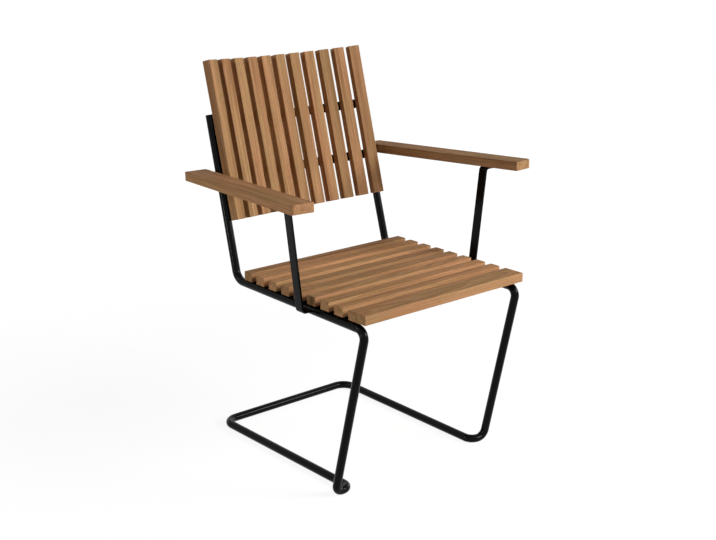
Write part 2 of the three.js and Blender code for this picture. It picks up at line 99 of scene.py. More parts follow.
def tint(tree, share, below, above, mode="MIX"):
    """Mixes two colours, each a fixed colour or a socket."""
    inputs = {0: share, 6: below, 7: above}
    node = add_node(tree, "ShaderNodeMix", inputs, data_type="RGBA", blend_type=mode)
    return node.outputs[2]


def new_finish(name):
    """A fresh material with its tree and its Principled shader."""
    finish = bpy.data.materials.new(name)
    finish.use_nodes = True
    return finish, finish.node_tree, finish.node_tree.nodes["Principled BSDF"]


# %% [markdown]
# ## Oiled teak
# The boards are straight-grained teak with a thin coat of oil. A picture of wood would show
# the same grain on every slat and would not turn the corner onto the end of a board. So the
# wood is solid: growth rings are shells round the heart of a log, and each board is cut from
# its own place in that log. The board's mesh carries that place in an attribute named
# "grain", whose third axis runs along the board. Fibres and pores are long thin patches
# along the same axis. A second attribute says how pale the board is, and a third marks the
# sawn ends, which soak up oil and dry darker.

# %% Teak finish
RING_WIDTH = 0.0034
TEAK_PALE = (0.64, 0.360, 0.182, 1)
TEAK_DEEP = (0.35, 0.170, 0.069, 1)
TEAK_STREAK = (0.28, 0.129, 0.050, 1)
TEAK_PORE = (0.12, 0.045, 0.014, 1)
TINGE_RED = (1.03, 0.975, 0.98, 1)
TINGE_GREEN = (0.97, 1.025, 0.98, 1)
TEAK_SPECULAR = 0.02

# How closely each pattern packs across the board, through it and along it.
WANDER, DRIFT, STREAK = (9, 9, 2.2), (30, 30, 3.5), (70, 70, 1.6)
SHAKE, FIGURE, FIBRE, PORE = (160, 160, 5), (230, 230, 6), (1100, 1100, 14), (2400, 2400, 70)
HEART_REACH = 0.016
LOG_LEAN = 0.016

# How far each pattern takes the colour over, and the shade that each one ranges through.
LATEWOOD_SHARE, STREAK_SHARE, FIBRE_SHARE, PORE_SHARE = 0.50, 0.60, 0.30, 0.5
BOARD_SHADES, FIGURE_SHADES, END_SHADE = (0.82, 1.16), (0.86, 1.14), 0.97
OILED_ROUGHNESS, PORE_ROUGHNESS = (0.50, 0.60), 0.15


def make_teak():
    finish, tree, surface = new_finish("oiled_teak")
    grain = add_node(tree, "ShaderNodeAttribute", attribute_name="grain").outputs["Vector"]
    paleness = add_node(tree, "ShaderNodeAttribute", attribute_name="paleness").outputs["Fac"]
    sawn_end = add_node(tree, "ShaderNodeAttribute", attribute_name="sawn_end").outputs["Fac"]

    # The heart wanders a little along the log, so that the rings never run dead straight.
    wander = mottle(tree, stretch(tree, grain, *WANDER), 2).outputs["Color"]
    wander = add_node(tree, "ShaderNodeVectorMath", {0: wander, 1: (0.5, 0.5, 0.5)},
                      operation="SUBTRACT").outputs["Vector"]
    wander = stretch(tree, wander, HEART_REACH, HEART_REACH, 0)
    heart = add_node(tree, "ShaderNodeVectorMath", {0: grain, 1: wander}, operation="ADD")
    parts = add_node(tree, "ShaderNodeSeparateXYZ", {0: heart.outputs["Vector"]}).outputs
    lean = reckon(tree, "MULTIPLY", parts["Z"], LOG_LEAN)
    flat = add_node(tree, "ShaderNodeCombineXYZ", {
        "X": reckon(tree, "ADD", parts["X"], lean), "Y": parts["Y"], "Z": 0.0}).outputs[0]
    radius = add_node(tree, "ShaderNodeVectorMath", {0: flat}, operation="LENGTH").outputs["Value"]

    fibre = mottle(tree, stretch(tree, grain, *FIBRE), 2).outputs["Fac"]
    shake = mottle(tree, stretch(tree, grain, *SHAKE), 3).outputs["Fac"]
    streak = mottle(tree, stretch(tree, grain, *STREAK), 3, 0.55).outputs["Fac"]
    pore = mottle(tree, stretch(tree, grain, *PORE), 1).outputs["Fac"]

    years = reckon(tree, "DIVIDE", radius, RING_WIDTH)
    years = reckon(tree, "ADD", years, reckon(tree, "MULTIPLY", shake, 0.9))
    year = reckon(tree, "FRACT", years)
    rise = spread(tree, year, 0.15, 0.9)
    fall = spread(tree, year, 0.93, 1.0, 1.0, 0.0)
    latewood = reckon(tree, "MULTIPLY", rise, fall)
    pores = reckon(tree, "MULTIPLY", spread(tree, pore, 0.60, 0.70),
                   spread(tree, year, 0.0, 0.7, 1.0, 0.35))

    rings = reckon(tree, "MULTIPLY", latewood, LATEWOOD_SHARE)
    colour = tint(tree, rings, TEAK_PALE, TEAK_DEEP)
    streaks = spread(tree, streak, 0.44, 0.74, 0.0, STREAK_SHARE)
    colour = tint(tree, streaks, colour, TEAK_STREAK)
    fibres = spread(tree, fibre, 0.35, 0.75, 0.0, FIBRE_SHARE)
    colour = tint(tree, fibres, colour, TEAK_DEEP)
    colour = tint(tree, reckon(tree, "MULTIPLY", pores, PORE_SHARE), colour, TEAK_PORE)
    drift = mottle(tree, stretch(tree, grain, *DRIFT), 2).outputs["Fac"]
    tinge = tint(tree, spread(tree, drift, 0.35, 0.65), TINGE_RED, TINGE_GREEN)
    colour = tint(tree, 1.0, colour, tinge, "MULTIPLY")
    shade = spread(tree, paleness, 0.0, 1.0, *BOARD_SHADES)
    shade = reckon(tree, "MULTIPLY", shade, spread(tree, sawn_end, 0.0, 1.0, 1.0, END_SHADE))
    figure = mottle(tree, stretch(tree, grain, *FIGURE), 2, 0.6).outputs["Fac"]
    shade = reckon(tree, "MULTIPLY", shade, spread(tree, figure, 0.3, 0.7, *FIGURE_SHADES))
    grey = add_node(tree, "ShaderNodeCombineColor", {0: shade, 1: shade, 2: shade}).outputs[0]
    tree.links.new(tint(tree, 1.0, colour, grey, "MULTIPLY"), surface.inputs["Base Color"])

    roughness = reckon(tree, "ADD", spread(tree, fibre, 0.3, 0.7, *OILED_ROUGHNESS),
                       reckon(tree, "MULTIPLY", pores, PORE_ROUGHNESS))
    tree.links.new(roughness, surface.inputs["Roughness"])
    height = reckon(tree, "SUBTRACT", reckon(tree, "MULTIPLY", fibre, 0.5), pores)
    height = reckon(tree, "ADD", height, reckon(tree, "MULTIPLY", latewood, 0.35))
    bump = add_node(tree, "ShaderNodeBump", {"Strength": 0.35, "Distance": 0.0002,
                                             "Height": height})
    tree.links.new(bump.outputs[0], surface.inputs["Normal"])
    surface.inputs["Specular IOR Level"].default_value = TEAK_SPECULAR
    return finish


teak = make_teak()
print("made", teak.name, "with rings", RING_WIDTH * 1000, "mm apart")

# %% [markdown]
# ## Powder-coated steel, plastic and stainless
# Powder coat is plastic baked onto the steel. It is not quite black, it has a soft gloss and
# a very fine orange-peel skin. The peel is a bump far smaller than the tube, so it must be
# set in real millimetres: object coordinates give exactly that, because every piece keeps
# the chair's own frame. The plugs are plain moulded plastic, duller than the coat. The
# screws are bare stainless steel with faint turning marks.

# %% Black powder coat
COAT_BLACK = (0.0012, 0.0013, 0.0016, 1)
COAT_GREY = (0.0026, 0.0027, 0.0031, 1)
COAT_SPECULAR = 0.08
PEEL, CLOUD = (850, 850, 850), (38, 38, 38)


def make_coat(name, gloss, peel_depth):
    finish, tree, surface = new_finish(name)
    place = add_node(tree, "ShaderNodeTexCoord").outputs["Object"]
    peel = mottle(tree, stretch(tree, place, *PEEL), 2, 0.6).outputs["Fac"]
    cloud = mottle(tree, stretch(tree, place, *CLOUD), 3).outputs["Fac"]
    colour = tint(tree, spread(tree, cloud, 0.3, 0.7), COAT_BLACK, COAT_GREY)
    tree.links.new(colour, surface.inputs["Base Color"])
    rough = spread(tree, cloud, 0.3, 0.7, gloss - 0.03, gloss + 0.05)
    tree.links.new(rough, surface.inputs["Roughness"])
    bump = add_node(tree, "ShaderNodeBump", {"Strength": 0.25, "Distance": peel_depth,
                                             "Height": peel})
    tree.links.new(bump.outputs[0], surface.inputs["Normal"])
    surface.inputs["Specular IOR Level"].default_value = COAT_SPECULAR
    return finish


black_coat = make_coat("black_powder_coat", gloss=0.14, peel_depth=0.00006)
black_plastic = make_coat("moulded_plastic", gloss=0.55, peel_depth=0.00003)
print("made", black_coat.name, "and", black_plastic.name)

# %% Stainless steel
STEEL_GREY, STEEL_BRIGHT = (0.50, 0.51, 0.52, 1), (0.62, 0.63, 0.64, 1)
TURNING_MARKS = (1500, 1500, 4000)
STEEL_ROUGHNESS = (0.24, 0.42)


def make_stainless():
    finish, tree, surface = new_finish("stainless")
    place = add_node(tree, "ShaderNodeTexCoord").outputs["Object"]
    marks = mottle(tree, stretch(tree, place, *TURNING_MARKS), 2).outputs["Fac"]
    colour = tint(tree, marks, STEEL_GREY, STEEL_BRIGHT)
    tree.links.new(colour, surface.inputs["Base Color"])
    rough = spread(tree, marks, 0.3, 0.7, *STEEL_ROUGHNESS)
    tree.links.new(rough, surface.inputs["Roughness"])
    surface.inputs["Metallic"].default_value = 1.0
    return finish


stainless = make_stainless()
print("made", stainless.name)

# %% [markdown]
# ## From a node tree to a finished piece
# A geometry tree starts from a small mesh, such as one slat or the corners of a path. The
# helpers below make a tree with named inputs, run it, and keep the result as a plain mesh,
# because instances and live trees don't survive an export. Each finished mesh becomes a
# piece that rides on the chair and takes the place of its CAD node.

# %% Tree and piece helpers
KINDS = {int: "NodeSocketInt", float: "NodeSocketFloat", bool: "NodeSocketBool",
         tuple: "NodeSocketVector", bpy.types.Material: "NodeSocketMaterial"}


def new_tree(name, **sizes):
    """A geometry tree whose named inputs are these sizes."""
    tree = bpy.data.node_groups.new(name, "GeometryNodeTree")
    face = tree.interface
    face.new_socket("Geometry", in_out="INPUT", socket_type="NodeSocketGeometry")
    for label, kind in sizes.items():
        face.new_socket(label.replace("_", " "), in_out="INPUT", socket_type=KINDS[kind])
    face.new_socket("Geometry", in_out="OUTPUT", socket_type="NodeSocketGeometry")
    return tree, tree.nodes.new("NodeGroupInput").outputs, tree.nodes.new("NodeGroupOutput")


def end_tree(tree, geometry, finish, result):
    """Every tree ends by making its copies real and giving them their finish."""
    real = add_node(tree, "GeometryNodeRealizeInstances", {0: geometry}).outputs[0]
    made = add_node(tree, "GeometryNodeSetMaterial", {0: real, 2: finish}).outputs[0]
    tree.links.new(made, result.inputs[0])


def run_tree(tree, start, **sizes):
    """Runs a tree on a starting mesh and returns the outcome as a plain mesh."""
    holder = bpy.data.objects.new("start", start)
    bpy.context.scene.collection.objects.link(holder)
    modifier = holder.modifiers.new("tree", "NODES")
    modifier.node_group = tree
    for socket in tree.interface.items_tree:
        label = socket.name.replace(" ", "_")
        if socket.in_out == "INPUT" and label in sizes:
            modifier[socket.identifier] = sizes[label]
    graph = bpy.context.evaluated_depsgraph_get()
    mesh = bpy.data.meshes.new_from_object(
        holder.evaluated_get(graph), preserve_all_data_layers=True, depsgraph=graph)
    bpy.data.objects.remove(holder)
    return mesh


def fit_piece(name, mesh, slot, *nodes, bevel=0.0, sharp=50):
    """Makes a mesh a piece of the chair that stands for these CAD nodes."""
    mesh.shade_smooth()
    mesh.set_sharp_from_angle(angle=math.radians(sharp))
    piece = bpy.data.objects.new(name, mesh)
    bpy.context.scene.collection.objects.link(piece)
    if bevel:
        edge = piece.modifiers.new("eased_edges", "BEVEL")
        edge.width, edge.segments, edge.limit_method = bevel, 2, "ANGLE"
        edge.angle_limit = math.radians(sharp)
    piece.modifiers.new("flats_stay_flat", "WEIGHTED_NORMAL").keep_sharp = not bevel
    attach(piece, "root")
    if nodes:
        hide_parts(*nodes)
    return piece


def dress(node, ending, mesh, slot, bevel=0.0):
    """Makes a mesh the piece that stands for one CAD node and is named after it."""
    return fit_piece(f"{node}_{ending}", mesh, slot, node, bevel=bevel)


def rounded(values, places=4):
    return [round(value, places) for value in values]


# %% [markdown]
# ## The chair's main sizes
# These repeat the CAD source. Y is measured from the rear edge of the seat, and `chair_point`
# moves it into the shared frame. The back leans by about 15 degrees, and its slats stand on an
# arc whose centre lies in front of the sitter.

# %% Sizes and places
GAP = 0.0003
TUBE_RADIUS = 0.0097
RAIL_HEIGHT, RAIL_DROP = 0.4206, 0.0059
SEAT_REAR_HALF, SEAT_FRONT_HALF, UPRIGHT_TOP_HALF = 0.2328, 0.2306, 0.2277
REAR_CORNER_Y, FRONT_CORNER_Y = 0.0377, -0.4195
UPRIGHT_LENGTH = 0.3872
BACK_ANGLE = math.radians(15.35)
BACK_ARC_RADIUS = 0.850
BAR_THICKNESS = 0.004
BAR_BACK_RADIUS = BACK_ARC_RADIUS + GAP + BAR_THICKNESS
ARC_CENTRE = math.sqrt((BAR_BACK_RADIUS + GAP + TUBE_RADIUS) ** 2 - UPRIGHT_TOP_HALF ** 2)


def chair_point(x, y, z):
    return Vector((x, y + rear_edge, z))


def upright_point(side, distance):
    """The upright's axis at a distance along it. The two lean together towards the top."""
    share = distance / UPRIGHT_LENGTH
    half = SEAT_REAR_HALF + (UPRIGHT_TOP_HALF - SEAT_REAR_HALF) * share
    return chair_point(side * half, REAR_CORNER_Y + distance * math.sin(BACK_ANGLE),
                       RAIL_HEIGHT + distance * math.cos(BACK_ANGLE))


def rail_share(y):
    """How far a depth lies along the seat rail, from its rear corner to its front corner."""
    return (REAR_CORNER_Y - y) / (REAR_CORNER_Y - FRONT_CORNER_Y)


def rail_half(y):
    """Half the distance between the seat rails at a depth."""
    return SEAT_REAR_HALF + (SEAT_FRONT_HALF - SEAT_REAR_HALF) * rail_share(y)


def rail_height(y):
    """The height of the seat rail's axis. The rails drop a little towards the front."""
    return RAIL_HEIGHT - RAIL_DROP * rail_share(y)


def side_word(side):
    return "left" if side < 0 else "right"


back_frame = (Matrix.Translation(chair_point(0, REAR_CORNER_Y, RAIL_HEIGHT))
              @ Matrix.Rotation(-BACK_ANGLE, 4, "X"))
print("upright tops at", rounded(upright_point(1, UPRIGHT_LENGTH)))

# %% [markdown]
# ## A bar that is bent along a path
# The frame tube, the crossbars and the arm supports are all straight stock that was bent.
# One tree makes them all: the path's corners are rounded by the bend radius stored on each
# corner, and a rounded rectangle is swept along it. A tube's section is the same rectangle
# with corners so round that they meet. Drawing the path first and sweeping it is how a
# tube bender works too, and one number changes a bend everywhere.

# %% Bent bar tree
MERGE_DISTANCE = 0.00001


def make_bar_tree():
    tree, given, result = new_tree(
        "bent_bar", Depth=float, Breadth=float, Corner_Radius=float, Corner_Steps=int,
        Bend_Steps=int, Closed_Ends=bool, Finish=bpy.types.Material)
    path = add_node(tree, "GeometryNodeMeshToCurve", {0: given["Geometry"]}).outputs[0]
    bend = add_node(tree, "GeometryNodeInputNamedAttribute", {"Name": "bend_radius"},
                    data_type="FLOAT").outputs["Attribute"]
    path = add_node(tree, "GeometryNodeFilletCurve", {
        "Curve": path, "Count": given["Bend Steps"], "Radius": bend}, mode="POLY").outputs[0]
    section = add_node(tree, "GeometryNodeCurvePrimitiveQuadrilateral", {
        "Width": given["Depth"], "Height": given["Breadth"]}, mode="RECTANGLE").outputs[0]
    section = add_node(tree, "GeometryNodeFilletCurve", {
        "Curve": section, "Count": given["Corner Steps"],
        "Radius": given["Corner Radius"]}, mode="POLY").outputs[0]
    bar = add_node(tree, "GeometryNodeCurveToMesh", {
        "Curve": path, "Profile Curve": section, "Fill Caps": given["Closed Ends"]}).outputs[0]
    bar = add_node(tree, "GeometryNodeMergeByDistance", {
        "Geometry": bar, "Distance": MERGE_DISTANCE}).outputs[0]
    end_tree(tree, bar, given["Finish"], result)
    return tree


def path_mesh(points, bends=None):
    """The corners of a path joined by edges, with the bend radius of each corner."""
    mesh = bpy.data.meshes.new("path")
    mesh.from_pydata([tuple(p) for p in points], [(i, i + 1) for i in range(len(points) - 1)], [])
    radii = mesh.attributes.new("bend_radius", "FLOAT", "POINT")
    radii.data.foreach_set("value", bends or [0.0] * len(points))
    return mesh


def outward(mesh):
    """Turns every face to the outside."""
    work = bmesh.new()
    work.from_mesh(mesh)
    bmesh.ops.recalc_face_normals(work, faces=work.faces)
    work.to_mesh(mesh)
    work.free()
    return mesh


bar_tree = make_bar_tree()
print("tree", bar_tree.name, "has", len(bar_tree.nodes), "nodes")

# %% [markdown]
# ## The frame tube
# One tube makes the whole frame. It comes down from the left upright, runs forward under the
# seat, turns down into the leg, turns in and back along the floor, crosses behind, and goes
# the same way up on the right. The tree gives the outer skin, and Solidify gives the wall
# its 1.5 millimetres, so that the open tops of the uprights are real tube ends.

# %% Frame tube
FOOT_HALF, FLOOR_FRONT_HALF, FLOOR_REAR_HALF = 0.2357, 0.1936, 0.1986
FOOT_CORNER_Y, FLOOR_REAR_Y = -0.3239, 0.1637
TUBE_WALL = 0.0015
HALF_BENDS = [0.0, 0.030, 0.0204, 0.0185, 0.0216, 0.0334]


def half_path(side):
    return [
        upright_point(side, UPRIGHT_LENGTH),
        upright_point(side, 0),
        chair_point(side * SEAT_FRONT_HALF, FRONT_CORNER_Y, RAIL_HEIGHT - RAIL_DROP),
        chair_point(side * FOOT_HALF, FOOT_CORNER_Y, TUBE_RADIUS),
        chair_point(side * FLOOR_FRONT_HALF, FOOT_CORNER_Y, TUBE_RADIUS),
        chair_point(side * FLOOR_REAR_HALF, FLOOR_REAR_Y, TUBE_RADIUS),
    ]


route = path_mesh(half_path(-1) + half_path(1)[::-1], HALF_BENDS + HALF_BENDS[::-1])
tube_mesh = run_tree(
    bar_tree, route, Depth=2 * TUBE_RADIUS, Breadth=2 * TUBE_RADIUS, Corner_Radius=TUBE_RADIUS,
    Corner_Steps=12, Bend_Steps=18, Closed_Ends=False, Finish=black_coat)
tube = dress("frame_tube", "coated", outward(tube_mesh), "black_steel")
wall = tube.modifiers.new("tube_wall", "SOLIDIFY")
wall.thickness, wall.offset = TUBE_WALL, -1
tube.modifiers.move(1, 0)
print("tube:", len(tube.data.polygons), "faces on its outer skin")

# %% [markdown]
# ## Lofted pieces
# Planed boards, strips and plugs are simple solids with eased edges. Each is a stack of
# rings: the ring is the piece's outline, and near the ends it draws in along a quarter
# circle. This gives exact sizes and even roundings, where a Bevel on a cube would need its
# corners repaired.

# %% Loft helpers
SMALLEST_CORNER = 0.0002


def rounded_outline(width, depth, radii, steps=4):
    """Points round a rectangle whose four corners have their own radii."""
    points = []
    for quarter, (sign_x, sign_y) in enumerate([(1, 1), (-1, 1), (-1, -1), (1, -1)]):
        radius = radii[quarter]
        for step in range(steps + 1):
            angle = math.pi / 2 * (quarter + step / steps)
            points.append((sign_x * (width / 2 - radius) + radius * math.cos(angle),
                           sign_y * (depth / 2 - radius) + radius * math.sin(angle)))
    return points


def easing_levels(length, ease, steps=3):
    """Heights and insets of the rings of a piece whose two ends are eased."""
    quarter = [math.pi / 2 * step / steps for step in range(steps + 1)]
    lower = [(ease * (1 - math.sin(a)), ease * (1 - math.cos(a))) for a in reversed(quarter)]
    upper = [(length - height, inset) for height, inset in reversed(lower)]
    return lower + upper


def loft(rings):
    """A closed skin over a stack of rings that have the same number of points."""
    mesh = bpy.data.meshes.new("loft")
    count = len(rings[0])
    corners = [tuple(point) for ring in rings for point in ring]
    faces = [tuple(range(count))[::-1]]
    for level in range(len(rings) - 1):
        low, high = level * count, (level + 1) * count
        for i in range(count):
            j = (i + 1) % count
            faces.append((low + i, low + j, high + j, high + i))
    faces.append(tuple(range(len(corners) - count, len(corners))))
    mesh.from_pydata(corners, [], faces)
    return outward(mesh)


def board(width, depth, length, radii, ease):
    """A board centred on the origin, with its length along Z."""
    rings = []
    for height, inset in easing_levels(length, ease):
        shrunk = [max(radius - inset, SMALLEST_CORNER) for radius in radii]
        outline = rounded_outline(width - 2 * inset, depth - 2 * inset, shrunk)
        rings.append([(x, y, height - length / 2) for x, y in outline])
    return loft(rings)


# %% [markdown]
# ## Cutting boards from the log
# The wood's place in the log goes onto the mesh here. Each board gets a random spot round
# the heart, so one slat shows straight edge grain and the next shows broader arches. The
# random numbers have fixed seeds, so the chair looks the same each time.

# %% Wood attributes
HEART_NEAR, HEART_FAR, LOG_LENGTH = 0.045, 0.13, 9.0
END_FACING = 0.75


def mark_wood(mesh, turn=Matrix.Identity(3), seed=None, paleness=0.5):
    """Stores where each point lies in the log, and which faces are sawn ends."""
    shift = Vector((0, 0, 0))
    if seed is not None:
        chance = random.Random(seed)
        angle, reach = chance.uniform(0, 2 * math.pi), chance.uniform(HEART_NEAR, HEART_FAR)
        height = chance.uniform(0, LOG_LENGTH)
        shift = Vector((reach * math.cos(angle), reach * math.sin(angle), height))
    places = [value for v in mesh.vertices for value in turn @ v.co + shift]
    mesh.attributes.new("grain", "FLOAT_VECTOR", "POINT").data.foreach_set("vector", places)
    ends = [float(abs((turn @ face.normal).z) > END_FACING) for face in mesh.polygons]
    mesh.attributes.new("sawn_end", "FLOAT", "FACE").data.foreach_set("value", ends)
    if seed is not None:
        pale = [paleness] * len(mesh.vertices)
        mesh.attributes.new("paleness", "FLOAT", "POINT").data.foreach_set("value", pale)
    return mesh


# %% [markdown]
# ## Rows of slats
# The eleven back slats and the eight seat slats are the same planed batten in a row. The
# tree takes one batten and sets it out again and again, by a straight step or by a turn on
# an arc. Each copy draws its own place in the log and its own paleness. Afterwards the row
# is taken apart by the number each slat carries, so that every slat stays a piece of its own.


# %% Slat row tree
def make_row_tree():
    tree, given, result = new_tree(
        "slat_row", Slats=int, Step=tuple, Turn=float, Arc_Radius=float, Paleness_Spread=float,
        Seed=int, Finish=bpy.types.Material)
    index = add_node(tree, "GeometryNodeInputIndex").outputs[0]
    middle = reckon(tree, "MULTIPLY", reckon(tree, "SUBTRACT", given["Slats"], 1.0), 0.5)
    angle = reckon(tree, "MULTIPLY", reckon(tree, "SUBTRACT", index, middle), given["Turn"])
    fall = reckon(tree, "SUBTRACT", reckon(tree, "COSINE", angle), 1.0)
    bow = add_node(tree, "ShaderNodeCombineXYZ", {
        "X": reckon(tree, "MULTIPLY", given["Arc Radius"], reckon(tree, "SINE", angle)),
        "Y": reckon(tree, "MULTIPLY", given["Arc Radius"], fall)}).outputs[0]
    stride = add_node(tree, "ShaderNodeVectorMath", {0: given["Step"], "Scale": index},
                      operation="SCALE").outputs["Vector"]
    spot = add_node(tree, "ShaderNodeVectorMath", {0: bow, 1: stride}, operation="ADD")
    points = add_node(tree, "GeometryNodePoints", {
        "Count": given["Slats"], "Position": spot.outputs["Vector"]}).outputs[0]
    facing = add_node(tree, "ShaderNodeCombineXYZ", {
        "Z": reckon(tree, "MULTIPLY", angle, -1.0)}).outputs[0]
    facing = add_node(tree, "FunctionNodeEulerToRotation", {0: facing}).outputs[0]
    row = add_node(tree, "GeometryNodeInstanceOnPoints", {
        "Points": points, "Instance": given["Geometry"], "Rotation": facing}).outputs[0]

    def draw(low, high, salt):
        seed = reckon(tree, "ADD", given["Seed"], float(salt))
        return add_node(tree, "FunctionNodeRandomValue", {2: low, 3: high, "Seed": seed},
                        data_type="FLOAT").outputs[1]

    def store(geometry, name, value, domain="INSTANCE", kind="FLOAT"):
        inputs = {"Geometry": geometry, "Name": name, "Value": value}
        return add_node(tree, "GeometryNodeStoreNamedAttribute", inputs, domain=domain,
                        data_type=kind).outputs[0]

    heading, reach = draw(0.0, 2 * math.pi, 1), draw(HEART_NEAR, HEART_FAR, 2)
    cut = add_node(tree, "ShaderNodeCombineXYZ", {
        "X": reckon(tree, "MULTIPLY", reach, reckon(tree, "COSINE", heading)),
        "Y": reckon(tree, "MULTIPLY", reach, reckon(tree, "SINE", heading)),
        "Z": draw(0.0, LOG_LENGTH, 3)}).outputs[0]
    row = store(row, "log_place", cut, kind="FLOAT_VECTOR")
    paleness = reckon(tree, "MULTIPLY", draw(-0.5, 0.5, 4), given["Paleness Spread"])
    row = store(row, "paleness", reckon(tree, "ADD", paleness, 0.5))
    row = store(row, "slat_number", index, kind="INT")
    row = add_node(tree, "GeometryNodeRealizeInstances", {0: row}).outputs[0]
    grain = [add_node(tree, "GeometryNodeInputNamedAttribute", {"Name": name},
                      data_type="FLOAT_VECTOR").outputs["Attribute"]
             for name in ("grain", "log_place")]
    both = add_node(tree, "ShaderNodeVectorMath", dict(enumerate(grain)), operation="ADD")
    row = store(row, "grain", both.outputs["Vector"], "POINT", "FLOAT_VECTOR")
    end_tree(tree, row, given["Finish"], result)
    return tree


def take_apart(mesh, place):
    """Moves a row to its place and returns one mesh for each slat number."""
    mesh.transform(place)
    slats = []
    numbers = [item.value for item in mesh.attributes["slat_number"].data]
    for number in range(max(numbers) + 1):
        work = bmesh.new()
        work.from_mesh(mesh)
        work.verts.ensure_lookup_table()
        others = [v for v in work.verts if numbers[v.index] != number]
        bmesh.ops.delete(work, geom=others, context="VERTS")
        slat = mesh.copy()
        work.to_mesh(slat)
        work.free()
        slats.append(slat)
    return slats


row_tree = make_row_tree()
print("tree", row_tree.name, "has", len(row_tree.nodes), "nodes")

# %% [markdown]
# ## The backrest's slats
# Eleven battens stand on a shallow arc, so the back is slightly hollow for the sitter. The
# outermost ones stand just inside the uprights. They are centred on the arc and lean with
# the back as one group.

# %% Back slats
SLAT_WIDTH, SLAT_THICKNESS, SLAT_ROUNDING, END_EASE = 0.0283, 0.0215, 0.0015, 0.001
BACK_SLATS, BACK_SLAT_LENGTH, BACK_SLAT_FOOT, BACK_END_INSET = 11, 0.373, 0.139, 0.010
back_turn = 2 * math.asin((UPRIGHT_TOP_HALF - BACK_END_INSET) / BACK_ARC_RADIUS) / (BACK_SLATS - 1)
slat_arc = BACK_ARC_RADIUS - SLAT_THICKNESS / 2

batten = board(SLAT_WIDTH, SLAT_THICKNESS, BACK_SLAT_LENGTH, [SLAT_ROUNDING] * 4, END_EASE)
batten = mark_wood(batten)
back_row = run_tree(
    row_tree, batten, Slats=BACK_SLATS, Step=(0, 0, 0), Turn=back_turn, Arc_Radius=slat_arc,
    Paleness_Spread=0.5, Seed=186, Finish=teak)
stand = Matrix.Translation((0, slat_arc - ARC_CENTRE, BACK_SLAT_FOOT + BACK_SLAT_LENGTH / 2))
for number, mesh in enumerate(take_apart(back_row, back_frame @ stand), 1):
    dress(f"back_slat_{number}", "oiled", mesh, "teak")
print("back slats turn", round(math.degrees(back_turn), 2), "degrees from one to the next")

# %% [markdown]
# ## The seat
# Eight battens lie flat across the rails and a board twice as wide makes the front edge,
# where the sitter's knees rest. The battens come from the same tree in a straight row. The
# front board is a single piece with its own cut of wood.

# %% Seat slats and front board
SEAT_SLATS, SEAT_PITCH, FRONT_BOARD = 8, 0.04666, 0.055
SEAT_OVERHANG = 0.0072
SEAT_LENGTH = 2 * (SEAT_REAR_HALF + SEAT_OVERHANG)
seat_bottom = RAIL_HEIGHT + TUBE_RADIUS + GAP
seat_middle = seat_bottom + SLAT_THICKNESS / 2
lay_down = Matrix.Rotation(math.pi / 2, 4, "Y")

batten = mark_wood(board(SLAT_THICKNESS, SLAT_WIDTH, SEAT_LENGTH, [SLAT_ROUNDING] * 4, END_EASE))
seat_row = run_tree(
    row_tree, batten, Slats=SEAT_SLATS, Step=(0, -SEAT_PITCH, 0), Turn=0.0, Arc_Radius=0.0,
    Paleness_Spread=1.0, Seed=86, Finish=teak)
lie = Matrix.Translation(chair_point(0, -SLAT_WIDTH / 2, seat_middle)) @ lay_down
for number, mesh in enumerate(take_apart(seat_row, lie), 1):
    dress(f"seat_slat_{number}", "oiled", mesh, "teak")

front = board(SLAT_THICKNESS, FRONT_BOARD, SEAT_LENGTH, [SLAT_ROUNDING] * 4, END_EASE)
mark_wood(front, seed=31, paleness=0.55)
front.materials.append(teak)
front_y = -SEAT_SLATS * SEAT_PITCH - FRONT_BOARD / 2
front.transform(Matrix.Translation(chair_point(0, front_y, seat_middle)) @ lay_down)
dress("seat_slat_front", "oiled", front, "teak")
print("seat top at", round((seat_middle + SLAT_THICKNESS / 2) * 1000, 1), "mm")

# %% [markdown]
# ## The armrests
# Each armrest is a flat board that splays outwards and rises a little towards the front. Its
# outer front corner is rounded more than the others, where a hand or a hip would catch it.
# The board is built flat in its own corner and then turned, and its grain attribute is
# turned too, so that the wood runs along it.

# %% Armrests
ARM_OFFSET, ARM_REAR_Y, ARM_REAR_TOP = 0.0130, 0.1372, 0.6715
ARM_INNER_HALF = SEAT_REAR_HALF + ARM_OFFSET
ARM_WIDTH, ARM_LENGTH, ARM_THICKNESS, ARM_EASE = FRONT_BOARD, 0.482, SLAT_THICKNESS, 0.0015
ARM_SPLAY, ARM_RISE = math.radians(6.63), math.radians(2.1)
ARM_CORNER, ARM_FRONT_CORNER = 0.003, 0.008
ARM_SEEDS, ARM_PALENESS = {-1: 51, 1: 53}, {-1: 0.67, 1: 0.23}
along_y = Matrix(((1, 0, 0), (0, 0, 1), (0, 1, 0)))


def make_armrest(side):
    front_corners = (ARM_FRONT_CORNER, ARM_CORNER)[:: 1 if side < 0 else -1]
    rings = []
    for height, inset in easing_levels(ARM_THICKNESS, ARM_EASE):
        radii = [radius - inset for radius in (ARM_CORNER, ARM_CORNER, *front_corners)]
        outline = rounded_outline(ARM_WIDTH - 2 * inset, ARM_LENGTH - 2 * inset, radii, 5)
        rings.append([(x + side * ARM_WIDTH / 2, y - ARM_LENGTH / 2, height - ARM_THICKNESS)
                      for x, y in outline])
    mesh = mark_wood(loft(rings), along_y, seed=ARM_SEEDS[side],
                     paleness=ARM_PALENESS[side])
    mesh.materials.append(teak)
    turned = Matrix.Rotation(-ARM_RISE, 4, "X") @ Matrix.Rotation(side * ARM_SPLAY, 4, "Z")
    spot = chair_point(side * ARM_INNER_HALF, ARM_REAR_Y, ARM_REAR_TOP)
    mesh.transform(Matrix.Translation(spot) @ turned)
    dress(f"armrest_{side_word(side)}", "oiled", mesh, "teak")


make_armrest(-1)
make_armrest(1)
print("armrests splay", round(math.degrees(ARM_SPLAY), 2), "degrees")

